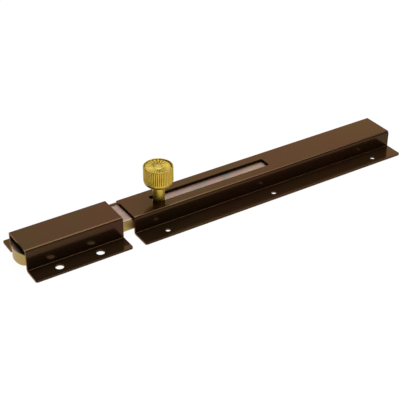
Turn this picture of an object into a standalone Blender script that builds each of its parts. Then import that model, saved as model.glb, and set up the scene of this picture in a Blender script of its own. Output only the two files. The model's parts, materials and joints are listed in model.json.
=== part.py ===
"""Slide bolt latch: a flat steel bolt runs under a folded, slotted cover and shoots into a folded keeper.

A round knurled knob stands on a sleeve that rides in the cover's slot. A screw from under the bolt holds
the two. Inside the cover a back plate carries the bolt, and a bowed leaf spring on that plate rubs in a
groove under the bolt, so that the bolt stays where it is put.

Frame: metres, +X from the keeper to the cover's tail, +Z away from the door. The origin is on the door's
face, on the bolt's centre line, midway between the bolt's nose and the cover's tail. The bolt is shot.
"""

import math

import bmesh
import bpy
from mathutils import Matrix, Vector

# Driving dimensions, in metres.
BAR_WIDTH = 0.0146
BAR_THICKNESS = 0.0062
BAR_TOP_EDGE_RADIUS = 0.0008  # along its sides: the nose and the tail are cut square
BAR_BOTTOM_EDGE_RADIUS = 0.0016
NOSE_RADIUS = 0.0115  # the nose's arc, seen from above
NOSE_CORNER_RADIUS = 0.0025
NOSE_PROUD = 0.0019  # how far the shot nose stands out of the keeper
NOSE_SUNK = 0.002  # how far inside the cover's mouth the drawn nose lies

SHEET = 0.001  # cover and keeper
BEND_RADIUS = 0.0003  # on the inside of each fold
FLANGE_CORNER_RADIUS = 0.0009

COVER_LENGTH = 0.150
COVER_BASE_WIDTH = 0.0372  # over the outer edges of its flanges
COVER_HOLE_DIAMETER = 0.0026
COVER_HOLES = (0.014, 0.49 * COVER_LENGTH, COVER_LENGTH - 0.0147)  # from the cover's mouth
COVER_HOLE_EDGE_DISTANCE = 0.0041  # from a hole's centre to the flange's long edge
SLOT_CORNER_RADIUS = 0.0008

KEEPER_LENGTH = 0.0475
KEEPER_BASE_WIDTH = 0.0358
KEEPER_HOLE_DIAMETER = 0.0039
KEEPER_HOLES = (0.0132, 0.0332)  # from the keeper's outer end
KEEPER_HOLE_EDGE_DISTANCE = 0.0044
DOOR_GAP = 0.006  # between the keeper and the cover

PLATE_THICKNESS = 0.001
PLATE_INSET = 0.003  # from each end of the cover

KNOB_SETBACK = 0.0178  # from the cover's mouth to the knob's axis, with the bolt shot
KNOB_STANDOFF = 0.0072  # from the cover's top to the knob's underside
KNOB_DIAMETER = 0.014
KNOB_HEIGHT = 0.010
KNOB_FOOT_RADIUS = 0.0028
KNOB_RIM_RADIUS = 0.0004
KNOB_DISH_DEPTH = 0.0006
KNURL_COUNT = 48
KNURL_DEPTH = 0.00022
KNURL_LOW = 0.0032  # knurled band, above the knob's underside
KNURL_HIGH = 0.0092
SLEEVE_DIAMETER = 0.0058
SCREW_DIAMETER = 0.003
SCREW_HEAD_DIAMETER = 0.0055
SCREW_HEAD_DEPTH = 0.0016
SCREW_GRIP = 0.0055  # screw inside the knob
DRIVE_SLOT_WIDTH = 0.0008
DRIVE_SLOT_DEPTH = 0.0007

GROOVE_WIDTH = 0.0064
GROOVE_DEPTH = 0.002
SPRING_WIDTH = 0.005
SPRING_THICKNESS = 0.0004
SPRING_START = 0.024  # from the cover's mouth
SPRING_TAIL_MARGIN = 0.022  # bolt left behind the spring when shot
SPRING_FLAT = 0.007  # flat foot at the riveted end
RIVET_DIAMETER = 0.0018
RIVET_HEAD_DIAMETER = 0.0034
RIVET_HEAD_HEIGHT = 0.0008

# Clearances.
TOUCH = 0.0003  # between pieces that touch
BAR_SIDE_CLEARANCE = 0.00065
BAR_TOP_CLEARANCE = 0.00045
BAR_RUN_CLEARANCE = 0.00075  # between the bolt and the back plate: the spring holds the bolt up
BAR_TAIL_CLEARANCE = 0.001
KEEPER_SIDE_CLEARANCE = 0.00065
KEEPER_TOP_CLEARANCE = 0.00235
SLOT_SIDE_CLEARANCE = 0.0004
SLOT_FRONT_PLAY = 0.001
SLOT_BACK_PLAY = 0.0003
GROOVE_LEAD = 0.006  # groove ahead of the spring when the bolt is drawn

# Facets.
BEND_STEPS = 4
CORNER_STEPS = 3
HOLE_SIDES = 24
TURNED_SIDES = 32
NOSE_STEPS = 12
EDGE_STEPS = 5
BOW_STEPS = 16
CUT = 0.002  # how far a cutter runs past what it cuts

# Places that follow from them.
BAR_BOTTOM = PLATE_THICKNESS + BAR_RUN_CLEARANCE
BAR_TOP = BAR_BOTTOM + BAR_THICKNESS
COVER_WIDTH = BAR_WIDTH + 2 * (BAR_SIDE_CLEARANCE + SHEET)
COVER_HEIGHT = BAR_TOP + BAR_TOP_CLEARANCE + SHEET
KEEPER_WIDTH = BAR_WIDTH + 2 * (KEEPER_SIDE_CLEARANCE + SHEET)
KEEPER_HEIGHT = BAR_TOP + KEEPER_TOP_CLEARANCE + SHEET
COVER_AHEAD = NOSE_PROUD + KEEPER_LENGTH + DOOR_GAP  # bolt ahead of the cover's mouth
TRAVEL = COVER_AHEAD + NOSE_SUNK
BAR_LENGTH = COVER_LENGTH - BAR_TAIL_CLEARANCE
TOTAL_LENGTH = COVER_AHEAD + COVER_LENGTH
NOSE_X = -TOTAL_LENGTH / 2
KEEPER_X = NOSE_X + NOSE_PROUD
COVER_X = KEEPER_X + KEEPER_LENGTH + DOOR_GAP
KNOB_X = COVER_X + KNOB_SETBACK
SLEEVE_RADIUS = SLEEVE_DIAMETER / 2
SCREW_RADIUS = SCREW_DIAMETER / 2
SCREW_HOLE_RADIUS = SCREW_RADIUS + TOUCH
KNOB_BOTTOM = COVER_HEIGHT + KNOB_STANDOFF
GROOVE_ROOF = BAR_BOTTOM + GROOVE_DEPTH
SPRING_X = COVER_X + SPRING_START
SPRING_LENGTH = BAR_LENGTH - TRAVEL - SPRING_TAIL_MARGIN - SPRING_START
SPRING_BOTTOM = PLATE_THICKNESS + TOUCH
RIVET_X = SPRING_X + SPRING_FLAT / 2
RIVET_RADIUS = RIVET_DIAMETER / 2

# Colours as linear RGB, then metallic and roughness.
BROWN_ENAMEL = ((0.045, 0.022, 0.011), 0.0, 0.25)
YELLOW_ZINC = ((0.62, 0.52, 0.30), 1.0, 0.30)
BRASS = ((0.78, 0.57, 0.18), 1.0, 0.25)
BRIGHT_ZINC = ((0.62, 0.63, 0.65), 1.0, 0.35)
SPRING_STEEL = ((0.35, 0.36, 0.40), 1.0, 0.30)


def material(name, finish):
    """A Principled material of this colour, metallic value and roughness."""
    colour, metallic, roughness = finish
    made = bpy.data.materials.new(name)
    made.use_nodes = True
    shader = made.node_tree.nodes["Principled BSDF"]
    shader.inputs["Base Color"].default_value = (*colour, 1.0)
    shader.inputs["Metallic"].default_value = metallic
    shader.inputs["Roughness"].default_value = roughness
    made.diffuse_color = (*colour, 1.0)
    return made


def add(name, bm, finish=None):
    """Puts a bmesh into the scene as an object. One with no finish is a cutter, which isn't rendered."""
    bmesh.ops.recalc_face_normals(bm, faces=bm.faces)
    mesh = bpy.data.meshes.new(name)
    bm.to_mesh(mesh)
    bm.free()
    obj = bpy.data.objects.new(name, mesh)
    bpy.context.collection.objects.link(obj)
    if finish:
        mesh.materials.append(material(name, finish))
    else:
        obj.hide_render = True
        obj.display_type = "WIRE"
    return obj


def smooth(obj):
    """Shades a round piece smooth, with its real edges kept sharp."""
    obj.data.shade_smooth()
    obj.data.set_sharp_from_angle(angle=math.radians(35))
    return obj


def boolean(obj, operation, other):
    modifier = obj.modifiers.new(f"{operation.lower()}_{other.name}", "BOOLEAN")
    modifier.operation = operation
    modifier.object = other


def bevel(obj, width, segments, angle):
    modifier = obj.modifiers.new("bevel", "BEVEL")
    modifier.width = width
    modifier.segments = segments
    modifier.limit_method = "ANGLE"
    modifier.angle_limit = math.radians(angle)
    modifier.harden_normals = False


def solidify(obj, thickness):
    """Gives a sheet its thickness, half to each side."""
    modifier = obj.modifiers.new("thickness", "SOLIDIFY")
    modifier.thickness = thickness
    modifier.offset = 0
    modifier.use_even_offset = True


def block(low, high):
    """A bmesh box between two corners."""
    bm = bmesh.new()
    low, high = Vector(low), Vector(high)
    place = Matrix.Translation((low + high) / 2) @ Matrix.Diagonal((*(high - low), 1))
    bmesh.ops.create_cube(bm, size=1, matrix=place)
    return bm


def rounded_block(low, high, radius):
    """A box whose upright edges are rounded."""
    bm = block(low, high)
    upright = [e for e in bm.edges if abs(e.verts[0].co.z - e.verts[1].co.z) > 1e-6]
    bmesh.ops.bevel(bm, geom=upright, offset=radius, segments=CORNER_STEPS, profile=0.5, affect="EDGES")
    return bm


def turned(profile, sides):
    """A solid of revolution about Z. The profile is (radius, height) points; one that starts and ends off
    the axis is closed on itself, as for a tube."""
    bm = bmesh.new()
    points = [bm.verts.new((r, 0, z)) for r, z in profile]
    pairs = list(zip(points, points[1:]))
    if profile[0][0] > 0 and profile[-1][0] > 0:
        pairs.append((points[-1], points[0]))
    geom = points + [bm.edges.new(pair) for pair in pairs]
    turn = {"cent": (0, 0, 0), "axis": (0, 0, 1), "angle": 2 * math.pi}
    bmesh.ops.spin(bm, geom=geom, steps=sides, use_merge=True, **turn)
    bmesh.ops.remove_doubles(bm, verts=bm.verts, dist=1e-7)
    return bm


def arc(centre, radius, start, end, steps):
    """Points on an arc from one angle to another, in degrees, both ends included."""
    angles = [math.radians(start + (end - start) * i / steps) for i in range(steps + 1)]
    return [(centre[0] + radius * math.cos(a), centre[1] + radius * math.sin(a)) for a in angles]


def round_cutter(name, x, y, radius, low, high):
    bm = turned([(0, low), (radius, low), (radius, high), (0, high)], HOLE_SIDES)
    bmesh.ops.translate(bm, verts=bm.verts, vec=(x, y, 0))
    return add(name, bm)


def folded_hat(name, start, length, width, base, height):
    """Sheet folded into a hat: two flanges on the door, two walls and a top, trimmed to a rounded blank.

    The strip is drawn a little too long and wide on the sheet's middle surface, folded by a bevel,
    thickened, and trimmed to size."""
    half_wall = (width - SHEET) / 2
    half_base = base / 2 + CUT
    low, high = SHEET / 2, height - SHEET / 2
    section = [(-half_base, low), (-half_wall, low), (-half_wall, high)]
    section += [(-y, z) for y, z in reversed(section)]
    bm = bmesh.new()
    rows = [[bm.verts.new((x, y, z)) for y, z in section] for x in (start - CUT, start + length + CUT)]
    for i in range(len(section) - 1):
        bm.faces.new((rows[0][i], rows[0][i + 1], rows[1][i + 1], rows[1][i]))
    hat = add(name, bm, BROWN_ENAMEL)
    bevel(hat, BEND_RADIUS + SHEET / 2, BEND_STEPS, 30)
    solidify(hat, SHEET)
    low_corner = (start, -base / 2, -CUT)
    high_corner = (start + length, base / 2, height + CUT)
    blank = rounded_block(low_corner, high_corner, FLANGE_CORNER_RADIUS)
    boolean(hat, "INTERSECT", add(f"{name}_blank", blank))
    return hat


def pierce_flanges(hat, places, hole_y, diameter):
    """Cuts a screw hole through both flanges at each of these places along X."""
    for i, x in enumerate(places):
        for side, y in (("front", -hole_y), ("back", hole_y)):
            cutter = round_cutter(f"{hat.name}_{side}_hole_{i}", x, y, diameter / 2, -CUT, SHEET + CUT)
            boolean(hat, "DIFFERENCE", cutter)


def make_cover():
    cover = folded_hat("guide_cover", COVER_X, COVER_LENGTH, COVER_WIDTH, COVER_BASE_WIDTH, COVER_HEIGHT)
    hole_y = COVER_BASE_WIDTH / 2 - COVER_HOLE_EDGE_DISTANCE
    pierce_flanges(cover, [COVER_X + x for x in COVER_HOLES], hole_y, COVER_HOLE_DIAMETER)
    half_slot = SLEEVE_RADIUS + SLOT_SIDE_CLEARANCE
    slot_front = KNOB_X - SLEEVE_RADIUS - SLOT_FRONT_PLAY
    slot_back = KNOB_X + TRAVEL + SLEEVE_RADIUS + SLOT_BACK_PLAY
    low = (slot_front, -half_slot, COVER_HEIGHT - SHEET - CUT / 4)
    high = (slot_back, half_slot, COVER_HEIGHT + CUT)
    boolean(cover, "DIFFERENCE", add("slot_cutter", rounded_block(low, high, SLOT_CORNER_RADIUS)))
    return cover


def make_keeper():
    keeper = folded_hat("keeper", KEEPER_X, KEEPER_LENGTH, KEEPER_WIDTH, KEEPER_BASE_WIDTH, KEEPER_HEIGHT)
    hole_y = KEEPER_BASE_WIDTH / 2 - KEEPER_HOLE_EDGE_DISTANCE
    pierce_flanges(keeper, [KEEPER_X + x for x in KEEPER_HOLES], hole_y, KEEPER_HOLE_DIAMETER)
    return keeper


def make_back_plate():
    half_width = COVER_WIDTH / 2 - SHEET - TOUCH
    low = (COVER_X + PLATE_INSET, -half_width, 0)
    high = (COVER_X + COVER_LENGTH - PLATE_INSET, half_width, PLATE_THICKNESS)
    plate = add("back_plate", block(low, high), BRIGHT_ZINC)
    boolean(plate, "DIFFERENCE", round_cutter("plate_hole", RIVET_X, 0, RIVET_RADIUS + TOUCH, -CUT, CUT))
    return plate


def bar_outline(inset):
    """The bolt seen from above where its sides are drawn in by an inset: a square tail, straight sides,
    filleted corners and an arc for a nose."""
    half = BAR_WIDTH / 2 - inset
    arc_centre = NOSE_X + NOSE_RADIUS
    corner_y = half - NOSE_CORNER_RADIUS
    # The fillet touches the side and, from inside, the nose's arc.
    corner_x = arc_centre - math.sqrt((NOSE_RADIUS - NOSE_CORNER_RADIUS) ** 2 - corner_y**2)
    lean = math.degrees(math.atan2(corner_y, arc_centre - corner_x))
    tail = NOSE_X + BAR_LENGTH
    upper_fillet = arc((corner_x, corner_y), NOSE_CORNER_RADIUS, 90, 180 - lean, CORNER_STEPS)
    nose = arc((arc_centre, 0), NOSE_RADIUS, 180 - lean, 180 + lean, NOSE_STEPS)
    lower_fillet = arc((corner_x, -corner_y), NOSE_CORNER_RADIUS, 180 + lean, 270, CORNER_STEPS)
    return [(tail, half)] + upper_fillet[:-1] + nose + lower_fillet[1:] + [(tail, -half)]


def rounded_bar():
    """The bolt before it's machined: its outline stacked in rings that round its long edges."""
    foot, shoulder = BAR_BOTTOM_EDGE_RADIUS, BAR_TOP_EDGE_RADIUS
    levels = arc((foot, BAR_BOTTOM + foot), foot, 270, 180, EDGE_STEPS)
    levels += arc((shoulder, BAR_TOP - shoulder), shoulder, 180, 90, EDGE_STEPS)
    bm = bmesh.new()
    rings = [[bm.verts.new((x, y, z)) for x, y in bar_outline(inset)] for inset, z in levels]
    for lower, upper in zip(rings, rings[1:]):
        for i in range(len(lower)):
            bm.faces.new((lower[i - 1], lower[i], upper[i], upper[i - 1]))
    bm.faces.new(rings[0])
    bm.faces.new(rings[-1])
    return bm


def make_bar():
    bar = smooth(add("bolt_bar", rounded_bar(), YELLOW_ZINC))
    groove_start = NOSE_X + SPRING_START - GROOVE_LEAD
    low = (groove_start, -GROOVE_WIDTH / 2, BAR_BOTTOM - CUT)
    high = (NOSE_X + BAR_LENGTH + CUT, GROOVE_WIDTH / 2, GROOVE_ROOF)
    boolean(bar, "DIFFERENCE", add("groove_cutter", block(low, high)))
    sink = SCREW_HEAD_DIAMETER / 2 + TOUCH
    cone_top = GROOVE_ROOF + SCREW_HEAD_DEPTH + TOUCH
    profile = [
        (0, GROOVE_ROOF - CUT / 4),
        (sink, GROOVE_ROOF - CUT / 4),
        (sink, GROOVE_ROOF + TOUCH),
        (SCREW_HOLE_RADIUS, cone_top),
        (SCREW_HOLE_RADIUS, BAR_TOP + CUT),
        (0, BAR_TOP + CUT),
    ]
    bm = turned(profile, HOLE_SIDES)
    bmesh.ops.translate(bm, verts=bm.verts, vec=(KNOB_X, 0, 0))
    boolean(bar, "DIFFERENCE", add("screw_hole_cutter", bm))
    return bar


def make_sleeve():
    low, high = BAR_TOP + TOUCH, KNOB_BOTTOM - TOUCH
    bore = SCREW_HOLE_RADIUS
    profile = [(bore, low), (SLEEVE_RADIUS, low), (SLEEVE_RADIUS, high), (bore, high)]
    return smooth(add("knob_sleeve", turned(profile, TURNED_SIDES), BRASS))


def make_screw():
    """A countersunk screw, head down, its slot in the groove's roof."""
    low = GROOVE_ROOF + TOUCH
    neck = low + SCREW_HEAD_DEPTH
    tip = KNOB_BOTTOM + SCREW_GRIP
    head = SCREW_HEAD_DIAMETER / 2
    profile = [(0, low), (head, low), (SCREW_RADIUS, neck), (SCREW_RADIUS, tip - TOUCH)]
    profile += [(SCREW_RADIUS - TOUCH, tip), (0, tip)]
    screw = smooth(add("knob_screw", turned(profile, HOLE_SIDES), BRIGHT_ZINC))
    low_corner = (-head - CUT, -DRIVE_SLOT_WIDTH / 2, low - CUT)
    high_corner = (head + CUT, DRIVE_SLOT_WIDTH / 2, low + DRIVE_SLOT_DEPTH)
    slot = add("drive_slot_cutter", block(low_corner, high_corner))
    slot.location.x = KNOB_X
    boolean(screw, "DIFFERENCE", slot)
    return screw


def make_knob():
    """The head is turned first, then every second meridian of its knurled band is pressed in."""
    radius = KNOB_DIAMETER / 2
    hole_depth = SCREW_GRIP + TOUCH
    profile = [(0, hole_depth), (SCREW_HOLE_RADIUS, hole_depth), (SCREW_HOLE_RADIUS, 0)]
    profile += arc((radius - KNOB_FOOT_RADIUS, KNOB_FOOT_RADIUS), KNOB_FOOT_RADIUS, -90, 0, BEND_STEPS)
    profile += [(radius, KNURL_LOW), (radius, KNURL_LOW + KNURL_DEPTH)]
    profile += [(radius, KNURL_HIGH - KNURL_DEPTH), (radius, KNURL_HIGH)]
    rim_centre = (radius - KNOB_RIM_RADIUS, KNOB_HEIGHT - KNOB_RIM_RADIUS)
    profile += arc(rim_centre, KNOB_RIM_RADIUS, 0, 90, CORNER_STEPS)
    face = KNOB_HEIGHT - KNOB_DISH_DEPTH
    profile += [(radius - 2 * KNOB_RIM_RADIUS, face), (0, face)]
    bm = turned(profile, 2 * KNURL_COUNT)
    for vert in bm.verts:
        meridian = round(math.atan2(vert.co.y, vert.co.x) / (math.pi / KNURL_COUNT))
        if KNURL_LOW + KNURL_DEPTH / 2 < vert.co.z < KNURL_HIGH - KNURL_DEPTH / 2 and meridian % 2:
            if vert.co.xy.length > SLEEVE_RADIUS:
                vert.co.xy *= (radius - KNURL_DEPTH) / radius
    bmesh.ops.translate(bm, verts=bm.verts, vec=(0, 0, KNOB_BOTTOM))
    return add("knob_head", bm, BRASS)


def make_spring():
    """A leaf with a flat riveted foot and a bow that rises in the groove and comes down again."""
    low = SPRING_BOTTOM + SPRING_THICKNESS / 2
    rise = GROOVE_ROOF - TOUCH - SPRING_THICKNESS / 2 - low
    bow = SPRING_LENGTH - SPRING_FLAT
    line = [(SPRING_X, low)]
    for i in range(BOW_STEPS + 1):
        share = i / BOW_STEPS
        line.append((SPRING_X + SPRING_FLAT + share * bow, low + rise * math.sin(math.pi * share) ** 2))
    bm = bmesh.new()
    rows = [[bm.verts.new((x, y, z)) for x, z in line] for y in (-SPRING_WIDTH / 2, SPRING_WIDTH / 2)]
    for i in range(len(line) - 1):
        bm.faces.new((rows[0][i], rows[0][i + 1], rows[1][i + 1], rows[1][i]))
    spring = add("friction_spring", bm, SPRING_STEEL)
    solidify(spring, SPRING_THICKNESS)
    hole = round_cutter("spring_hole", RIVET_X, 0, RIVET_RADIUS + TOUCH, 0, SPRING_BOTTOM + CUT)
    boolean(spring, "DIFFERENCE", hole)
    return spring


def make_rivet():
    seat = SPRING_BOTTOM + SPRING_THICKNESS + TOUCH
    head = RIVET_HEAD_DIAMETER / 2
    dome = seat + RIVET_HEAD_HEIGHT
    profile = [(0, 0), (RIVET_RADIUS, 0), (RIVET_RADIUS, seat), (head, seat)]
    profile += [(head, seat + RIVET_HEAD_HEIGHT / 2), (head / 2, dome), (0, dome)]
    bm = turned(profile, HOLE_SIDES)
    bmesh.ops.translate(bm, verts=bm.verts, vec=(RIVET_X, 0, 0))
    return smooth(add("spring_rivet", bm, BRIGHT_ZINC))


def main():
    for obj in list(bpy.data.objects):
        bpy.data.objects.remove(obj)
    make_cover()
    make_back_plate()
    make_spring()
    make_rivet()
    keeper_slide = bpy.data.objects.new("keeper_slide", None)
    bolt_slide = bpy.data.objects.new("bolt_slide", None)
    for empty in (keeper_slide, bolt_slide):
        bpy.context.collection.objects.link(empty)
    make_keeper().parent = keeper_slide
    make_bar().parent = bolt_slide
    for piece in (make_sleeve(), make_screw(), make_knob()):
        piece.location.x = KNOB_X
        piece.parent = bolt_slide


main()
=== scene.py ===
# %% [markdown]
# # A slide bolt in brown enamel, yellow zinc and brass
#
# A slide bolt is one of the oldest door fastenings. A flat bar runs under a folded cover and shoots into
# a keeper on the frame, and a knurled knob on a sleeve gives the hand a hold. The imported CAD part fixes
# every size and every movement. This script gives each piece its finished surface: soft edges under the
# enamel, rolled corners on the bar, crisp knurls on the knob. Each shape is worked out with numpy as a
# grid of points, so its formula can be read off and changed.

import json
import math

import bmesh
import bpy
import numpy as np
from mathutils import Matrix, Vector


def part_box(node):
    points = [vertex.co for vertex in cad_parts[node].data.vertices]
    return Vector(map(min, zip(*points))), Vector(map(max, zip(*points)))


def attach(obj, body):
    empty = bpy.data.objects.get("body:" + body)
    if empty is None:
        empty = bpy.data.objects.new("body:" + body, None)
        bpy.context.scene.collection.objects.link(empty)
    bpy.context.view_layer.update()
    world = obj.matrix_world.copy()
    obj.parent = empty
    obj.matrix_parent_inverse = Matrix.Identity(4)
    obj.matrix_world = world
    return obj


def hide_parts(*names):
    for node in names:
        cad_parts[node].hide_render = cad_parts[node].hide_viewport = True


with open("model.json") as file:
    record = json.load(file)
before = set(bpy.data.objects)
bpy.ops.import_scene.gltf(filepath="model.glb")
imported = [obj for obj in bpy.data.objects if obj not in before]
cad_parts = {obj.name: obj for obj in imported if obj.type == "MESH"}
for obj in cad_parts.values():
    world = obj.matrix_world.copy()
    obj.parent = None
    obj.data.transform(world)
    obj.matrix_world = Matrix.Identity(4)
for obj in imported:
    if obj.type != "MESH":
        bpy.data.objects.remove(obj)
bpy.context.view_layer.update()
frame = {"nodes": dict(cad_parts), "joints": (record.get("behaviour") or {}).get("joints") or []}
MM = 0.001
print("CAD nodes:", ", ".join(sorted(frame["nodes"])))

# %% [markdown]
# ## Where things are
#
# Nothing is placed by eye. The CAD nodes say where each piece begins and ends, so the handful of numbers
# that the surfaces need is read from their boxes. A box gives no wall thickness or bend radius, so those
# are written down once, as a drawing would dimension them: here, or where the piece is made.

# %% Read the boxes of the CAD nodes
box = {name: np.array(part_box(name)) for name in frame["nodes"]}
cover_low, cover_high = box["guide_cover"]
keeper_low, keeper_high = box["keeper"]
bar_low, bar_high = box["bolt_bar"]
knob_low, knob_high = box["knob_head"]
knob_x = (knob_low[0] + knob_high[0]) / 2
bolt_travel = next(j["range_m"][1] for j in frame["joints"] if j["name"] == "bolt_slide")
SHEET = 1.0 * MM
WALL_TO_WALL = 17.9 * MM  # over both walls of the cover and of the keeper
FOLD = 0.3 * MM  # inside radius of each fold
BLANK_CORNER = 0.9 * MM
FILM_ROUND = 0.2 * MM  # how much a thick film or the die rounds an edge
PUNCH_ROUND = 0.08 * MM  # how much a punched or sheared edge is rounded
print("cover", np.round((cover_high - cover_low) / MM, 2), "mm, travel", round(bolt_travel / MM, 1), "mm")

# %% [markdown]
# ## From points to a mesh
#
# Every piece here is a stack of closed rings: the outline of a bar drawn in level by level, a turned
# profile's circles, the section of a folded sheet at each station along it. One helper joins neighbouring
# rings with four-sided faces. Rings that shrink to a point close themselves when doubles are merged, and
# the others are closed with one flat face. A grid is easy to aim: its rows follow the piece's length or
# its axis, so a pattern is one more term in a formula.

# %% Join rings into a closed skin
MERGE = 1e-7


def skin(name, rings, close_ends=True, groove_depth=None):
    """A mesh over an array of rings (rings, points, xyz). Face (i, j) joins points j and j+1 of rings
    i and i+1, and the points of a ring wrap round. The last argument is a number at each point that a
    finish can read, such as how deep in a groove it lies."""
    count, around, _ = rings.shape
    index = np.arange(count * around).reshape(count, around)
    wrapped = np.roll(index, -1, axis=1)
    quads = np.stack([index[:-1], wrapped[:-1], wrapped[1:], index[1:]], axis=-1).reshape(-1, 4)
    faces = quads.tolist()
    if close_ends:
        faces += [index[0].tolist()[::-1], index[-1].tolist()]
    mesh = bpy.data.meshes.new(name)
    mesh.from_pydata(rings.reshape(-1, 3).tolist(), [], faces)
    if groove_depth is not None:
        mesh.attributes.new("groove_depth", "FLOAT", "POINT").data.foreach_set("value", groove_depth.ravel().astype("f"))
    piece = bpy.data.objects.new(name, mesh)
    bpy.context.scene.collection.objects.link(piece)
    return face_outward(piece)


def face_outward(piece):
    """Merges the doubles at poles and turns every face out."""
    work = bmesh.new()
    work.from_mesh(piece.data)
    bmesh.ops.remove_doubles(work, verts=work.verts, dist=MERGE)
    bmesh.ops.recalc_face_normals(work, faces=work.faces)
    work.to_mesh(piece.data)
    work.free()
    return piece


# %% [markdown]
# ## Cutting and softening
#
# Punched holes and milled slots are cut with Boolean modifiers, as a punch would. A real edge is never
# perfectly sharp, and paint or plating rounds it further, so a narrow bevel follows each cut. Weighted
# normals then keep wide flats flat, and only the bevel catches the light. The modifiers are applied, so
# that a finished piece is a plain mesh with nothing left to compute.

# %% Cut, soften and settle a piece
BEVEL_OVER = 40  # degrees between two faces, over which a bevel rounds their edge
CREASE_OVER = 50  # degrees, over which the shading breaks


def settle(piece):
    """Replaces the mesh with what its modifiers make of it."""
    graph = bpy.context.evaluated_depsgraph_get()
    made = bpy.data.meshes.new_from_object(piece.evaluated_get(graph))
    piece.modifiers.clear()
    piece.data = made
    return piece


def cut(piece, cutters):
    """Takes every cutter's volume out of the piece, then throws the cutters away."""
    for cutter in cutters:
        punch = piece.modifiers.new("punch", "BOOLEAN")
        punch.operation = "DIFFERENCE"
        punch.solver = "EXACT"
        punch.object = cutter
    settle(piece)
    for cutter in cutters:
        bpy.data.objects.remove(cutter)
    return piece


def soften(piece, width, segments=3, angle=BEVEL_OVER):
    """Rounds every edge that is sharper than the angle, and shades the piece smooth."""
    edge = piece.modifiers.new("edge", "BEVEL")
    edge.width = width
    edge.segments = segments
    edge.limit_method = "ANGLE"
    edge.angle_limit = math.radians(angle)
    settle(piece)
    piece.data.shade_smooth()
    piece.data.set_sharp_from_angle(angle=math.radians(CREASE_OVER))
    flats = piece.modifiers.new("flats", "WEIGHTED_NORMAL")
    flats.mode = "FACE_AREA"
    flats.weight = 50
    flats.keep_sharp = True
    return settle(piece)


# %% [markdown]
# ## Outlines
#
# A workshop has few shapes of tool: a round punch, a milling cutter that leaves round corners, and a
# lathe. So there are few helpers: a circle, a rectangle with round corners, an arc, an outline carried
# straight up, and a profile turned about an upright axis. Cutters and finished pieces use the same ones.

# %% Round and straight-sided outlines
def circle(radius, points):
    """Points on a circle: (r cos a, r sin a), with a running once round."""
    a = np.linspace(0, 2 * np.pi, points, endpoint=False)
    return np.stack([radius * np.cos(a), radius * np.sin(a)], axis=-1)


def rounded_rectangle(low, high, radius, steps=6):
    """A rectangle whose corners are quarter circles: each corner's centre plus r (cos a, sin a)."""
    low, high = np.array(low[:2]), np.array(high[:2])
    middle, half = (low + high) / 2, (high - low) / 2 - radius
    signs = np.array([[1, 1], [-1, 1], [-1, -1], [1, -1]])
    start = np.array([0, 90, 180, 270])
    a = np.radians(start[:, None] + np.linspace(0, 90, steps + 1))
    corner = (middle + signs * half)[:, None, :]
    return (corner + radius * np.stack([np.cos(a), np.sin(a)], axis=-1)).reshape(-1, 2)


def prism(name, outline, low, high):
    """An outline carried straight up from one height to another."""
    heights = np.array([low, high])
    rings = np.empty((2, len(outline), 3))
    rings[..., :2] = outline
    rings[..., 2] = heights[:, None]
    return skin(name, rings)


def turned(name, profile, centre, points=96):
    """A profile of (radius, height) spun about an upright axis: (x + r cos a, y + r sin a, z)."""
    profile = np.array(profile, float)
    unit = circle(1.0, points)
    rings = np.empty((len(profile), points, 3))
    rings[..., :2] = np.array(centre)[:2] + profile[:, None, :1] * unit
    rings[..., 2] = profile[:, None, 1]
    return skin(name, rings, close_ends=False)


def arc(centre, radius, start, end, steps=8):
    """Points on an arc between two angles in degrees."""
    a = np.radians(np.linspace(start, end, steps + 1))
    return [(centre[0] + radius * np.cos(t), centre[1] + radius * np.sin(t)) for t in a]


# %% [markdown]
# ## The folded cover and keeper
#
# Both are strips of 1 mm sheet, pierced flat and folded on a brake into a hat: two flanges that lie on the
# door, two walls and a top. A profile carried along a path is just that operation. The middle line of the
# section turns through four right angles, and the two faces of the sheet lie half a thickness to each side
# of it. The flanges draw in at the very ends, where the blank's corners are rounded.

# %% The section of a folded sheet, carried along X
def folded_sheet(name, low, high, wall_to_wall, bend, corner, steps=8):
    """Ring i is the sheet's section at one station along X. On the middle line, a bend of radius r about
    centre c is c - s r n(h), where the heading h turns by a right angle, n(h) is its left-hand normal and
    s is the side it turns to. The outer and inner faces are that line plus and minus n(h) times half the
    sheet. Near an end the flange's edge follows a quarter circle of the corner's radius."""
    half_wall, r = (wall_to_wall - SHEET) / 2, bend + SHEET / 2
    foot, crown = low[2] + SHEET / 2, high[2] - SHEET / 2
    fold = np.array([[-half_wall, foot], [-half_wall, crown], [half_wall, crown], [half_wall, foot]])
    heading, side = np.radians([0, 90, 0, -90]), np.array([1, -1, -1, 1])

    def normal(h):
        return np.stack([-np.sin(h), np.cos(h)], axis=-1)

    ahead = np.stack([np.cos(heading), np.sin(heading)], axis=-1)
    centre = fold - r * ahead + side[:, None] * r * normal(heading)
    h = heading[:, None] + side[:, None] * np.linspace(0, np.pi / 2, steps + 1)
    line = (centre[:, None] - side[:, None, None] * r * normal(h)).reshape(-1, 2)
    line = np.vstack([[0, foot], line, [0, foot]])
    across = np.vstack([[0, 1], normal(h).reshape(-1, 2), [0, 1]])

    a = np.linspace(0, np.pi / 2, steps + 1)
    along = corner * (1 - np.cos(a))
    x = np.concatenate([low[0] + along, (high[0] - along)[::-1]])
    edge = high[1] - corner * (1 - np.sin(a))
    edge = np.concatenate([edge, edge[::-1]])
    middle = np.repeat(line[None], len(x), axis=0)
    middle[:, 0, 0], middle[:, -1, 0] = -edge, edge
    faces = [middle + across * SHEET / 2, (middle - across * SHEET / 2)[:, ::-1]]
    section = np.concatenate(faces, axis=1)
    rings = np.concatenate([np.broadcast_to(x[:, None, None], section[..., :1].shape), section], axis=-1)
    return skin(name, rings)


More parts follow.
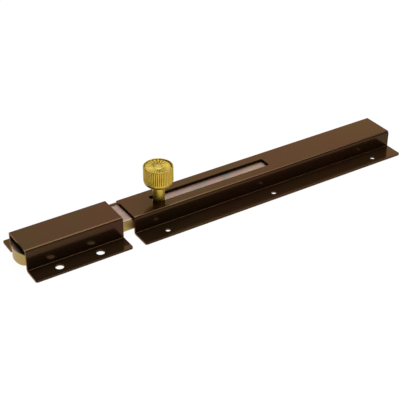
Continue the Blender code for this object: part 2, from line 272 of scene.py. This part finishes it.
def screw_holes(places, y, diameter):
    """Round punches through both flanges at these places along X."""
    punches = []
    for i, x in enumerate(places):
        for side in (-1, 1):
            outline = circle(diameter / 2, 48) + [x, side * y]
            punches.append(prism(f"punch_{i}_{side}", outline, -MM, 3 * MM))
    return punches


print("sheet:", SHEET / MM, "mm thick, outside radius of its folds", (SHEET + FOLD) / MM, "mm")

# %% [markdown]
# ### The cover
#
# The cover guides the bar. Three screw holes are punched in each flange, and a slot is milled in the top
# for the knob's sleeve to run in: it is as long as the travel and the sleeve together, with a little play
# at both ends. The blank's edges are rounded before the holes are cut, so that the holes stay crisper.

# %% Fold, pierce and mill the cover
COVER_HOLES = np.array([14.0, 73.5, 135.3]) * MM  # from the cover's mouth
COVER_HOLE, COVER_HOLE_EDGE = 2.6 * MM, 4.1 * MM  # its diameter, and how far in from the flange's edge
SLOT_HALF, SLOT_CORNER = 3.3 * MM, 0.8 * MM
SLOT_AHEAD, SLOT_BEHIND = 3.9 * MM, 3.2 * MM  # past the knob's axis, with the bar shot and drawn
SLOT_CUT = 1.6 * MM  # how deep the mill goes below the cover's top

cover = folded_sheet("cover_shell", cover_low, cover_high, WALL_TO_WALL, FOLD, BLANK_CORNER)
punches = screw_holes(cover_low[0] + COVER_HOLES, cover_high[1] - COVER_HOLE_EDGE, COVER_HOLE)
slot_low = (knob_x - SLOT_AHEAD, -SLOT_HALF)
slot_high = (knob_x + bolt_travel + SLOT_BEHIND, SLOT_HALF)
slot_outline = rounded_rectangle(slot_low, slot_high, SLOT_CORNER)
punches.append(prism("slot_mill", slot_outline, cover_high[2] - SLOT_CUT, cover_high[2] + MM))
soften(cut(soften(cover, FILM_ROUND), punches), PUNCH_ROUND)
print("cover:", len(cover.data.polygons), "faces")
print("slot:", round((slot_high[0] - slot_low[0]) / MM, 1), "mm long")

# %% [markdown]
# ### The keeper
#
# The keeper is the same hat, shorter and a little higher, so that the nose still finds it when the door
# has dropped. Its screws take the push on the door, so its holes are larger than the cover's.

# %% Fold and pierce the keeper
KEEPER_HOLES = np.array([13.2, 33.2]) * MM  # from the keeper's outer end
KEEPER_HOLE, KEEPER_HOLE_EDGE = 3.9 * MM, 4.4 * MM

keeper = folded_sheet("keeper_shell", keeper_low, keeper_high, WALL_TO_WALL, FOLD, BLANK_CORNER)
punches = screw_holes(keeper_low[0] + KEEPER_HOLES, keeper_high[1] - KEEPER_HOLE_EDGE, KEEPER_HOLE)
soften(cut(soften(keeper, FILM_ROUND), punches), PUNCH_ROUND)
print("keeper:", len(keeper.data.polygons), "faces")

# %% [markdown]
# ## The bar
#
# The bar is drawn flat steel. Drawing leaves its upper corners tight and its lower ones rounder. The nose
# is ground square to an arc, so that it finds the keeper. Stacking one outline at many levels makes all
# of this at once: where a corner of the section is rounded, the sides are drawn in by as much as the
# quarter circle asks, and the arc stays. The spring's groove and the countersunk hole are cut afterwards.

# %% Stack the bar's outline level by level
NOSE, NOSE_CORNER = 11.5 * MM, 2.5 * MM  # radii seen from above: the nose's arc and its two corners
LOWER_EDGE, UPPER_EDGE = 1.6 * MM, 0.8 * MM  # radii of the section's corners


def bar_outline(inset):
    """The bar seen from above at each inset of its sides: a square tail, a side, a corner, the nose's arc
    about a point on the centre line, and the same on the other side. The corner's centre lies where the
    two arcs touch: the distance between the centres is the difference of their radii."""
    inset = np.atleast_1d(inset)[:, None]
    half = (bar_high[1] - bar_low[1]) / 2 - inset
    nose_x = bar_low[0] + NOSE
    corner_x = nose_x - np.sqrt((NOSE - NOSE_CORNER) ** 2 - (half - NOSE_CORNER) ** 2)
    lean = np.arctan2(half - NOSE_CORNER, nose_x - corner_x)
    round_corner = np.pi / 2 + (np.pi / 2 - lean) * np.linspace(0, 1, 9)[:-1]
    round_nose = np.pi + lean * np.linspace(-1, 1, 41)
    corner_line = corner_x + NOSE_CORNER * np.cos(round_corner)
    corner_side = half - NOSE_CORNER + NOSE_CORNER * np.sin(round_corner)
    tail = np.full_like(half, bar_high[0])
    x = [tail, corner_line, nose_x + NOSE * np.cos(round_nose), corner_line[:, ::-1], tail]
    y = [half, corner_side, NOSE * np.sin(round_nose), -corner_side[:, ::-1], -half]
    return np.stack([np.concatenate(x, axis=1), np.concatenate(y, axis=1)], axis=-1)


levels = arc((LOWER_EDGE, bar_low[2] + LOWER_EDGE), LOWER_EDGE, 270, 180)
levels += arc((UPPER_EDGE, bar_high[2] - UPPER_EDGE), UPPER_EDGE, 180, 90)
levels = np.array(levels)
outlines = bar_outline(levels[:, 0])
heights = np.broadcast_to(levels[:, 1, None, None], outlines[..., :1].shape)
bar = skin("bar_body", np.concatenate([outlines, heights], axis=-1))
print("bar:", len(levels), "levels of", outlines.shape[1], "points")

# %% [markdown]
# ### What is cut into the bar
#
# A groove is milled along the bar's underside, wider than the leaf spring that rubs in it. In its roof a
# hole is drilled and countersunk from below, so that the screw's head stays clear of the spring.

# %% Cut the spring's groove and the screw's hole
GROOVE_HALF, GROOVE_DEEP, GROOVE_CORNER = 3.2 * MM, 2 * MM, 0.5 * MM
GROOVE_START = 18 * MM  # behind the nose
SINK, SCREW_WAY = 3.05 * MM, 1.8 * MM  # radii of the countersink's mouth and of the hole
SINK_LIP, SINK_DEEP = 0.3 * MM, 1.9 * MM  # above the groove's roof: where the cone begins and ends

roof = bar_low[2] + GROOVE_DEEP
groove_low = (bar_low[0] + GROOVE_START, -GROOVE_HALF)
groove_high = (bar_high[0] + 2 * MM, GROOVE_HALF)
groove = rounded_rectangle(groove_low, groove_high, GROOVE_CORNER)
sink = [(0, roof - 0.5 * MM), (SINK, roof - 0.5 * MM), (SINK, roof + SINK_LIP)]
sink += [(SCREW_WAY, roof + SINK_DEEP), (SCREW_WAY, bar_high[2] + MM), (0, bar_high[2] + MM)]
cutters = [prism("groove_mill", groove, bar_low[2] - MM, roof), turned("countersink", sink, (knob_x, 0), 64)]
soften(cut(bar, cutters), FILM_ROUND)
print("bar:", np.round((bar_high - bar_low) / MM, 1), "mm,", len(bar.data.polygons), "faces")

# %% [markdown]
# ## The knob
#
# The head is turned from brass rod, then straight knurls are rolled into its side so that wet or gloved
# fingers hold it. Its top is cut with a sunburst round a plain boss. Both are small waves on a turned
# shape, so the head is a function of the angle round it and the distance along its profile, and two
# weights along that profile say how much of each wave there is.

# %% The head's profile and where its patterns lie
def ease(value, start, end):
    """0 before start, 1 after end, and a smooth rise between them: t t (3 - 2 t)."""
    t = np.clip((value - start) / (end - start), 0, 1)
    return t * t * (3 - 2 * t)


radius = (knob_high[0] - knob_low[0]) / 2
height = knob_high[2] - knob_low[2]
ROUND_FOOT, RIM = 2.8 * MM, 0.4 * MM  # radii of the side's lower and upper ends
DISH = 0.6 * MM  # how far the rayed top lies below the rim
BORE, BORE_DEEP = 1.8 * MM, 5.8 * MM  # radius and depth of the screw's hole in the head
BORE_LIP = 0.15 * MM
INNER_RIM = 0.35 * MM  # radius where the rim falls to the dish
BOSS = 2.2 * MM  # radius at which the plain boss rises out of the dish, by 0.2 mm

profile = [(0, BORE_DEEP), (BORE, BORE_DEEP), (BORE, BORE_LIP), (BORE + BORE_LIP, 0)]
profile += arc((radius - ROUND_FOOT, ROUND_FOOT), ROUND_FOOT, -90, 0, 14)
profile += [(radius, z) for z in np.linspace(ROUND_FOOT, height - RIM, 34)[1:-1]]
profile += arc((radius - RIM, height - RIM), RIM, 0, 90, 10)
profile += arc((radius - RIM - 0.1 * MM, height - INNER_RIM), INNER_RIM, 90, 165, 6)
profile += [(r, height - DISH) for r in np.linspace(radius - 1.1 * MM, BOSS, 30)]
profile += [(1.9 * MM, height - 0.5 * MM), (1.6 * MM, height - 0.45 * MM), (0, height - 0.4 * MM)]
profile = np.array(profile)
print("knob profile:", len(profile), "points,", round(height / MM, 1), "mm high")

# %% [markdown]
# ### Knurls and rays
#
# Rolling presses the knurls in, so a knurl is deepest in its middle and fades out where the roller's edge
# was. The rays of the sunburst fade towards the boss and the rim in the same way. Real grooves in the mesh
# give true shadows at every angle, which a bump in the finish would not.

# %% Roll the knurls and cut the sunburst
KNURLS, RAYS, PER_KNURL = 48, 24, 10
KNURL_DEEP, RAY_DEEP = 0.30 * MM, 0.14 * MM


def knob_head_surface():
    """Ring i is the profile's point (r, z) spun about the axis. The knurl takes
    depth * k(z) * (1 - |cos(24 a)|) to the power 1.5 off the radius, and the sunburst takes
    depth * s(r) * (1 - |cos(12 a)|) to the power 1.2 off the height."""
    r, z = profile[:, 0, None], profile[:, 1, None]
    a = np.linspace(0, 2 * np.pi, KNURLS * PER_KNURL, endpoint=False)
    outside = (r > radius - RIM - 0.05 * MM).astype(float)
    knurled = outside * ease(z, 2.4 * MM, 3.2 * MM) * (1 - 0.7 * ease(z, height - 0.5 * MM, height))
    rayed = (z > height / 2) * ease(r, 2.0 * MM, 2.6 * MM) * (1 - 0.8 * ease(r, 6.2 * MM, 6.6 * MM))
    knurl = knurled * (1 - np.abs(np.cos(a * KNURLS / 2))) ** 1.5
    ray = rayed * (1 - np.abs(np.cos(a * RAYS / 2))) ** 1.2
    r_now, z_now = r - KNURL_DEEP * knurl, z - RAY_DEEP * ray
    rings = np.stack([knob_x + r_now * np.cos(a), r_now * np.sin(a), knob_low[2] + z_now], axis=-1)
    return rings, np.maximum(knurl, ray)


head_rings, head_depth = knob_head_surface()
head = skin("knob_grip", head_rings, close_ends=False, groove_depth=head_depth)
head.data.shade_smooth()
head.data.set_sharp_from_angle(angle=math.radians(60))
print("knob head: diameter", round(2 * radius / MM, 2), "mm,", len(head.data.polygons), "faces")

# %% [markdown]
# ## The turned pieces on the knob's axis
#
# The sleeve is a plain brass tube that runs in the slot and keeps the head above the cover. Each end is
# broken by a small chamfer. The profile is a closed loop, so turning it makes the bore as well and
# nothing has to be drilled.

# %% Turn the sleeve
SLEEVE_LIP = 0.25 * MM

sleeve_low, sleeve_high = box["knob_sleeve"]
outer = (sleeve_high[0] - sleeve_low[0]) / 2
tube = [(BORE, sleeve_low[2]), (outer - SLEEVE_LIP, sleeve_low[2]), (outer, sleeve_low[2] + SLEEVE_LIP)]
tube += [(outer, sleeve_high[2] - SLEEVE_LIP), (outer - SLEEVE_LIP, sleeve_high[2]), (BORE, sleeve_high[2])]
sleeve = turned("sleeve_tube", tube + tube[:1], (knob_x, 0))
soften(sleeve, 0.06 * MM, segments=2, angle=30)
print("sleeve: diameter", round(2 * outer / MM, 2), "mm")

# %% [markdown]
# ### The screw
#
# The screw comes up from under the bar and pulls bar, sleeve and head together. A screw's thread is a
# wave that climbs as it turns round, so one formula makes it from the same kind of grid, and no helix
# has to be swept. A slot for the driver is milled across its head.

# %% Thread the screw
THREAD_PITCH, THREAD_DEEP, SHANK = 0.5 * MM, 0.3 * MM, 1.5 * MM
SCREW_LIP, HEAD_DEEP = 0.15 * MM, 1.6 * MM  # above the head's face: where its cone begins and ends
DRIVE_HALF, DRIVE_DEEP = 0.4 * MM, 0.7 * MM

screw_low, screw_high = box["knob_screw"]


def threaded_screw():
    """A countersunk head, then a shank of radius r - d w, where w is 0 on the thread's crest and 1 in its
    root: w = |2 f - 1|, and f is the fraction of a turn that the angle and the height together make."""
    low, high = screw_low[2], screw_high[2]
    head_r = (screw_high[1] - screw_low[1]) / 2
    cone, shank = low + SCREW_LIP, low + HEAD_DEEP
    z = np.concatenate([[low, low, cone], np.arange(shank, high, THREAD_PITCH / 8), [high, high]])
    r = np.interp(z, [cone, shank], [head_r, SHANK])
    r[[0, 1, -2, -1]] = 0, head_r - 0.1 * MM, SHANK - 0.4 * MM, 0
    a = np.linspace(0, 2 * np.pi, 48, endpoint=False)
    f = (a / (2 * np.pi) + z[:, None] / THREAD_PITCH) % 1
    threaded = ease(z, low + 1.9 * MM, low + 2.2 * MM) * (1 - ease(z, high - 0.4 * MM, high))
    r = r[:, None] - THREAD_DEEP * threaded[:, None] * np.abs(2 * f - 1)
    return np.stack([knob_x + r * np.cos(a), r * np.sin(a), np.broadcast_to(z[:, None], r.shape)], axis=-1)


screw = skin("screw_body", threaded_screw(), close_ends=False)
drive = rounded_rectangle((knob_x - 4 * MM, -DRIVE_HALF), (knob_x + 4 * MM, DRIVE_HALF), 0.05 * MM)
cut(screw, [prism("drive_mill", drive, screw_low[2] - MM, screw_low[2] + DRIVE_DEEP)])
screw.data.shade_smooth()
screw.data.set_sharp_from_angle(angle=math.radians(40))
print("screw:", round((screw_high[2] - screw_low[2]) / MM, 1), "mm long")

# %% [markdown]
# ## What the cover hides
#
# A plate closes the cover's underside. A leaf of spring steel is riveted to it, and its bow holds the bar
# up and rubs in its groove: that is all the drag that keeps a bolt where it is put. The leaf is one strip
# section carried along a bow whose height follows a squared sine, so that it leaves and meets the plate
# level.

# %% Bow the leaf spring
LEAF, FOOT = 0.4 * MM, 7 * MM  # the strip's thickness, and the flat part under the rivet
RIVET_WAY = 1.2 * MM  # radius of the rivet's hole in the leaf and in the plate

spring_low, spring_high = box["friction_spring"]


def leaf_rings():
    """At a share t along the bow the leaf is at height low + rise sin(pi t) squared, and its half width
    follows a half circle at each end. Each ring is the strip's four corners there, half the leaf's
    thickness along the bow's normal and half the width along Y."""
    half = (spring_high[1] - spring_low[1]) / 2
    low, rise = spring_low[2] + LEAF / 2, spring_high[2] - spring_low[2] - LEAF
    a = np.linspace(0.05, np.pi / 2, 9)
    tip = half * (1 - np.cos(a))
    bow = np.linspace(spring_low[0] + 3 * MM, spring_high[0] - 3 * MM, 60)
    x = np.concatenate([spring_low[0] + tip, bow, (spring_high[0] - tip)[::-1]])
    from_end = np.minimum(np.minimum(x - spring_low[0], spring_high[0] - x), half)
    wide = np.sqrt(half**2 - (half - from_end) ** 2)
    span = spring_high[0] - spring_low[0] - FOOT
    t = np.clip((x - spring_low[0] - FOOT) / span, 0, 1)
    z = low + rise * np.sin(np.pi * t) ** 2
    slope = rise * np.pi * np.sin(2 * np.pi * t) / span
    up = np.stack([-slope, np.zeros_like(x), np.ones_like(x)], axis=-1) / np.sqrt(1 + slope**2)[:, None]
    centre = np.stack([x, np.zeros_like(x), z], axis=-1)
    out = np.array([0, 1, 0]) * wide[:, None]
    corners = [centre + s * out + h * LEAF / 2 * up for s, h in ((-1, -1), (1, -1), (1, 1), (-1, 1))]
    return np.stack(corners, axis=1)


spring = skin("leaf_strip", leaf_rings())
rivet_low, rivet_high = box["spring_rivet"]
rivet_x = (rivet_low[0] + rivet_high[0]) / 2
rivet_way = circle(RIVET_WAY, 40) + [rivet_x, 0]
leaf_hole = prism("leaf_punch", rivet_way, spring_low[2] - MM, spring_low[2] + MM)
soften(cut(spring, [leaf_hole]), 0.05 * MM, segments=2)
print("leaf spring: bowed", round((spring_high[2] - spring_low[2] - LEAF) / MM, 2), "mm")

# %% [markdown]
# ### The rivet and the plate
#
# The rivet's head is a cap of a sphere. A cap of height h and radius r belongs to a sphere of radius
# (r r + h h) / 2 h, so two measures fix it. Its tail is set flush under the plate. The plate is a sheared
# strip with one punched hole.

# %% Head the rivet and shear the plate
RIVET_HEAD, RIVET_SHANK, RIVET_TIP = 0.8 * MM, 0.9 * MM, 0.1 * MM
PLATE_CORNER = 0.6 * MM

seat = rivet_high[2] - RIVET_HEAD
head_r = (rivet_high[0] - rivet_low[0]) / 2
dome = (head_r**2 + RIVET_HEAD**2) / (2 * RIVET_HEAD)
span = math.degrees(math.asin(head_r / dome))
rivet_profile = [(0, 0), (0.8 * MM, 0), (RIVET_SHANK, RIVET_TIP), (RIVET_SHANK, seat)]
rivet_profile += arc((0, rivet_high[2] - dome), dome, 90 - span, 90, 10)
rivet = turned("rivet_body", rivet_profile, (rivet_x, 0), 64)
rivet.data.shade_smooth()
rivet.data.set_sharp_from_angle(angle=math.radians(40))

plate_low, plate_high = box["back_plate"]
plate_outline = rounded_rectangle(plate_low, plate_high, PLATE_CORNER)
plate = prism("plate_strip", plate_outline, plate_low[2], plate_high[2])
soften(cut(plate, [prism("plate_punch", rivet_way, -MM, 2 * MM)]), PUNCH_ROUND)
print("plate:", np.round((plate_high - plate_low) / MM, 1), "mm")

# %% [markdown]
# ## Finishes
#
# A finish is a small tree of nodes. Every pattern in it reads Object coordinates, which here are metres
# in the object's own frame, so a noise of scale 1 / 0.002 has grains about two millimetres across. One
# helper adds a node with its settings and its links, and the next ones name the few kinds used here.
# Colours are written as they look on a screen and turned to the linear values that light adds up in.

# %% Colours and nodes
def linear(colour):
    """An sRGB hex colour as linear RGBA: each channel c is c / 12.92 where dark, and otherwise
    ((c + 0.055) / 1.055) to the power 2.4."""
    c = np.array([int(colour[i : i + 2], 16) for i in (1, 3, 5)]) / 255
    return (*np.where(c <= 0.04045, c / 12.92, ((c + 0.055) / 1.055) ** 2.4).tolist(), 1.0)


def add_node(tree, kind, settings=None, inputs=None):
    """A node of this kind. settings are its own properties, and inputs are values or another node's
    outputs."""
    made = tree.nodes.new("ShaderNode" + kind)
    for key, value in (settings or {}).items():
        setattr(made, key, value)
    for key, value in (inputs or {}).items():
        if isinstance(value, bpy.types.NodeSocket):
            tree.links.new(value, made.inputs[key])
        else:
            made.inputs[key].default_value = value
    return made


def new_finish(name, shader_values):
    """A material with its Principled shader set to plain values, its tree, and Object coordinates."""
    finish = bpy.data.materials.new(name)
    finish.use_nodes = True
    tree = finish.node_tree
    shader = tree.nodes["Principled BSDF"]
    for key, value in shader_values.items():
        shader.inputs[key].default_value = value
    place = add_node(tree, "TexCoord").outputs["Object"]
    return finish, tree, shader, place


# %% [markdown]
# ### Patterns
#
# Real finishes vary: a film runs, a die scratches, a lathe leaves rings. All of these are one noise,
# stretched along the way the tool moved. A ramp turns it into colours, an even spread turns it into
# roughness, and a bump turns it into relief too fine to be worth a mesh.

# %% Patterns, colours over them, and the shader's three links
def stretched(tree, place, scale):
    """Coordinates multiplied by a scale along each axis, which squeezes a pattern along the large ones."""
    return add_node(tree, "Mapping", inputs={"Vector": place, "Scale": scale}).outputs[0]


def noise(tree, place, scale, detail, distortion=0.0):
    """Soft random clouds from 0 to 1, about 1 / scale metres across."""
    inputs = {"Vector": place, "Scale": scale, "Detail": detail, "Distortion": distortion}
    return add_node(tree, "TexNoise", inputs=inputs).outputs[0]


def ramp(tree, value, stops):
    """A colour for each value. stops are (value, sRGB hex colour) pairs."""
    made = add_node(tree, "ValToRGB", inputs={"Fac": value})
    elements = made.color_ramp.elements
    for i, (place, colour) in enumerate(stops):
        stop = elements[i] if i < 2 else elements.new(place)
        stop.position, stop.color = place, linear(colour)
    return made.outputs[0]


def spread(tree, value, low, high):
    """Values from 0 to 1 spread evenly from low to high."""
    return add_node(tree, "MapRange", inputs={"Value": value, "To Min": low, "To Max": high}).outputs[0]


def facing_up(tree, start, end):
    """0 where the normal's Z is under start, and 1 where it is over end."""
    normal = add_node(tree, "TexCoord").outputs["Normal"]
    z = add_node(tree, "SeparateXYZ", inputs={"Vector": normal}).outputs["Z"]
    return add_node(tree, "MapRange", inputs={"Value": z, "From Min": start, "From Max": end}).outputs[0]


def mix(tree, factor, first, second):
    """The first colour where the factor is 0 and the second where it is 1. A Mix node's sockets 6 and 7
    are its colours."""
    inputs = {"Factor": factor, 6: first, 7: second}
    return add_node(tree, "Mix", {"data_type": "RGBA"}, inputs).outputs[2]


def dress_shader(tree, shader, colour, roughness, relief, strength, depth):
    """Links a colour, a roughness and a relief of this depth to the shader."""
    inputs = {"Height": relief, "Strength": strength, "Distance": depth}
    bump = add_node(tree, "Bump", inputs=inputs)
    tree.links.new(colour, shader.inputs["Base Color"])
    tree.links.new(roughness, shader.inputs["Roughness"])
    tree.links.new(bump.outputs[0], shader.inputs["Normal"])


# %% [markdown]
# ### Stoved enamel
#
# The sheet is dipped in a dark brown enamel with bronze powder in it and baked. Baking leaves a glossy
# skin with a faint ripple, called orange peel. To the eye it is nearly black where it mirrors something
# dark and coffee brown where it mirrors the light, and that mirror is tinted by the powder, so the shader
# is about two thirds metal. The ripple's grains are 2 mm across, and the broad one is how the film runs.

# %% Stoved brown enamel
def stoved_enamel():
    """Colour and gloss follow broad clouds, and fine ones are the orange peel."""
    values = {"Metallic": 0.68, "Specular IOR Level": 0.15, "Specular Tint": linear("#FFD2AA")}
    values |= {"Coat Weight": 0.05, "Coat Roughness": 0.08}
    finish, tree, shader, place = new_finish("stoved_brown_enamel", values)
    run = noise(tree, place, 45.0, 3.0)
    peel = noise(tree, place, 500.0, 2.0)
    colour = ramp(tree, run, [(0.35, "#40301B"), (0.65, "#442C1C")])
    dress_shader(tree, shader, colour, spread(tree, run, 0.11, 0.19), peel, 0.2, 0.015 * MM)
    return finish


enamel = stoved_enamel()
print("finish:", enamel.name, "with", len(enamel.node_tree.nodes), "nodes")

# %% [markdown]
# ### Yellow-passivated zinc
#
# Steel is plated with zinc and dipped in a chromate bath. The film is thinner than a wavelength of light,
# so it shows interference colours: on the top it is faint, with pink and green clouds a centimetre or two
# across. The sides take a lighter straw gold, chosen by which way the surface faces: partly the film's
# own gold and partly painted light. The steel was drawn through a die first, so fine lines run along it.

# %% Yellow-passivated zinc on drawn steel
def passivated_zinc():
    """Clouded on top and a lighter gold on the sides, which is partly painted light, with drawn lines along
    X.
    """
    finish, tree, shader, place = new_finish("yellow_passivated_zinc", {"Metallic": 1.0})
    cloud = noise(tree, stretched(tree, place, (1.0, 1.6, 0.6)), 75.0, 2.5, 0.6)
    lines = noise(tree, stretched(tree, place, (60.0, 2500.0, 2500.0)), 1.0, 2.0)
    greens, pinks = [(0.34, "#6D7463"), (0.42, "#7F6F66")], [(0.50, "#8B6F67"), (0.58, "#877668")]
    top = ramp(tree, cloud, greens + pinks + [(0.68, "#8E7866")])
    # The sides get a lighter gold than the top by which way they face: partly the film's own colour, partly
    # painted light.
    film_and_painted_side_light = mix(tree, facing_up(tree, 0.35, 0.85), linear("#B0955A"), top)
    dress_shader(tree, shader, film_and_painted_side_light, spread(tree, lines, 0.38, 0.48), lines, 0.3, 0.01 * MM)
    return finish


zinc_gold = passivated_zinc()
print("finish:", zinc_gold.name, "with", len(zinc_gold.node_tree.nodes), "nodes")

# %% [markdown]
# ### Turned brass
#
# Brass rod is turned, knurled and lacquered. It is a warm yellow mirror, a little rough, with the lathe's
# rings on it. Its side is given a lighter copy of the brass colour and its top a darker one, by which way
# the surface faces: painted light on the side and painted shade on the top. The bottom of each knurl and
# ray is painted darker as shade: the mesh carries how deep each point lies, and the finish reads it.

# %% Turned and lacquered brass
def turned_brass():
    """Brass painted lighter on the side and darker on top, and painted darker in the grooves as shade, with
    rings round Z.
    """
    finish, tree, shader, place = new_finish("turned_brass", {"Metallic": 1.0})
    deep = add_node(tree, "Attribute", {"attribute_name": "groove_depth"}).outputs["Fac"]
    patina = noise(tree, place, 350.0, 3.0)
    lathe = noise(tree, stretched(tree, place, (300.0, 300.0, 9000.0)), 1.0, 2.0)
    # The side gets a lighter copy of the brass and the top a darker one: painted light on the side and
    # painted shade on the top.
    side_painted_lighter = ramp(tree, patina, [(0.35, "#DCB94A"), (0.65, "#F2D25E")])
    top_painted_darker = ramp(tree, patina, [(0.35, "#958236"), (0.65, "#AE9A48")])
    tone = mix(tree, facing_up(tree, 0.6, 0.9), side_painted_lighter, top_painted_darker)
    # Deeper points in the knurls and rays are mixed towards a dark brown: painted shade in the grooves.
    tone_with_painted_groove_shade = mix(tree, deep, tone, linear("#80621C"))
    dress_shader(tree, shader, tone_with_painted_groove_shade, spread(tree, patina, 0.4, 0.52), lathe, 0.25, 0.01 * MM)
    return finish


brass = turned_brass()
print("finish:", brass.name, "with", len(brass.node_tree.nodes), "nodes")

# %% [markdown]
# ### Bright zinc and spring steel
#
# The hidden pieces are plain workshop finishes. Bright zinc is a bluish white metal, cloudy where the bath
# ran off it. Spring steel is hardened and tempered strip, whose oxide film goes from straw to blue. Both
# are one kind of cloud in different colours, so one function makes them.

# %% Bright zinc, and tempered spring steel
def clouded_metal(name, scale, dark, light, smooth, rough):
    """A metal whose colour and roughness drift together over clouds of this scale."""
    finish, tree, shader, place = new_finish(name, {"Metallic": 1.0})
    cloud = noise(tree, place, scale, 4.0)
    grain = noise(tree, place, 2500.0, 2.0)
    colour = ramp(tree, cloud, [(0.35, dark), (0.65, light)])
    dress_shader(tree, shader, colour, spread(tree, cloud, smooth, rough), grain, 0.2, 0.01 * MM)
    return finish


zinc_bright = clouded_metal("bright_zinc_plate", 120.0, "#AEB4B8", "#C9CDD0", 0.25, 0.42)
spring_steel = clouded_metal("tempered_spring_steel", 160.0, "#4C5468", "#7C7A78", 0.22, 0.36)
print("finishes:", zinc_bright.name, "and", spring_steel.name)

# %% [markdown]
# ## Each piece takes its finish and its place
#
# A piece rides on the CAD body that moves it, stands for the CAD node whose shape it refines, and names
# the material slot that its finish comes from.

# %% Dress the pieces
dress = [
    (cover, "guide_cover", "cover", enamel, "brown_enamel"),
    (keeper, "keeper", "keeper", enamel, "brown_enamel"),
    (bar, "bolt_bar", "bolt", zinc_gold, "yellow_zinc"),
    (head, "knob_head", "bolt", brass, "brass"),
    (sleeve, "knob_sleeve", "bolt", brass, "brass"),
    (screw, "knob_screw", "bolt", zinc_bright, "bright_zinc"),
    (plate, "back_plate", "cover", zinc_bright, "bright_zinc"),
    (spring, "friction_spring", "cover", spring_steel, "spring_steel"),
    (rivet, "spring_rivet", "cover", zinc_bright, "bright_zinc"),
]
for piece, node, body, finish, slot in dress:
    piece.data.materials.clear()
    piece.data.materials.append(finish)
    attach(piece, body)
    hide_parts(node)
    print(f"{piece.name:12s} for {node:16s} on {body:7s} {len(piece.data.polygons):6d} faces")

# %% [markdown]
# ## Light, floor and camera
#
# The floor is a light table: a sheet of opal acrylic lit from below, which stays evenly pale and takes
# hardly any shadow. It is wide enough that a low camera sees no far edge, and it lies a twentieth of a
# millimetre under the flanges.

# %% Lay the floor
FLOOR_RADIUS, FLOOR_TOP, FLOOR_THICK = 12.0, -0.05 * MM, 4 * MM
floor = prism("studio_floor", circle(FLOOR_RADIUS, 48), -FLOOR_THICK, FLOOR_TOP)
acrylic_values = {"Roughness": 0.8, "Specular IOR Level": 0.1, "Base Color": linear("#404040")}
acrylic_values |= {"Emission Color": linear("#FFFFFF"), "Emission Strength": 0.96}
acrylic = new_finish("opal_acrylic", acrylic_values)[0]
floor.data.materials.append(acrylic)
print("floor:", 2 * FLOOR_RADIUS, "m across")

# %% [markdown]
# ### The lights
#
# Glossy enamel and metal show what they mirror, so the light is mostly a matter of what is there to be
# mirrored. A dim soft box behind stands where the flat tops mirror it towards the camera, and a brighter
# one overhead is caught by the bends, which are only a millimetre wide and so show it as thin bright
# lines. A low one in front lightens the lower half of each bend. The air is nearly dark, so the upright
# walls fall to near black.

# %% Hang the lights
AIR = 0.08


def soft_box(name, place, target, size, power):
    """A square area light that looks at the target."""
    lamp = bpy.data.lights.new(name, "AREA")
    lamp.shape, lamp.size, lamp.energy = "SQUARE", size, power
    box_light = bpy.data.objects.new(name, lamp)
    bpy.context.scene.collection.objects.link(box_light)
    way = np.array(place) - np.array(target)
    x, y, z = way / np.linalg.norm(way)
    box_light.location = place
    box_light.rotation_euler = (math.acos(z), 0, math.atan2(x, -y))


origin = (0, 0, 0)
soft_box("overhead_box", (0.3, 0.2, 1.15), origin, size=1.0, power=16)
soft_box("back_box", (0.585, 0.92, 0.707), origin, size=0.8, power=2.7)
soft_box("front_box", (0.52, -1.0, 0.33), origin, size=0.7, power=1.2)
world = bpy.data.worlds.new("studio_air")
world.use_nodes = True
air = world.node_tree.nodes["Background"].inputs
air["Color"].default_value = linear("#FFFFFF")
air["Strength"].default_value = AIR
bpy.context.scene.world = world
bpy.context.scene.view_settings.view_transform = "Standard"
print("lights:", ", ".join(lamp.name for lamp in bpy.data.lights))

# %% [markdown]
# ### The camera
#
# A long lens half a metre away keeps the bolt's far end almost as large as its near end, as a catalogue
# view does, and a third of a right angle of height shows the tops and the walls at once. The camera is
# placed by its angles about the part's middle, so turning it is a change of one number.

# %% Set the camera
def studio_camera(target, azimuth, elevation, distance, lens):
    """A camera that looks at the target from an angle round Z and an angle up from the floor: its way
    back is (sin az cos el, -cos az cos el, sin el)."""
    az, el = math.radians(azimuth), math.radians(elevation)
    back = np.array([math.sin(az) * math.cos(el), -math.cos(az) * math.cos(el), math.sin(el)])
    camera = bpy.data.objects.new("studio_camera", bpy.data.cameras.new("studio_camera"))
    camera.data.lens, camera.data.sensor_width = lens, 36.0
    camera.data.clip_start, camera.data.clip_end = 0.01, 20.0
    camera.location = np.array(target) + back * distance
    camera.rotation_euler = (math.pi / 2 - el, 0, az)
    bpy.context.scene.collection.objects.link(camera)
    bpy.context.scene.camera = camera


studio_camera(target=(-0.00673, 0.00018, 0.0), azimuth=-32.356, elevation=32.838, distance=0.5014, lens=94.13)
print("camera:", np.round(bpy.context.scene.camera.location, 3), "m")
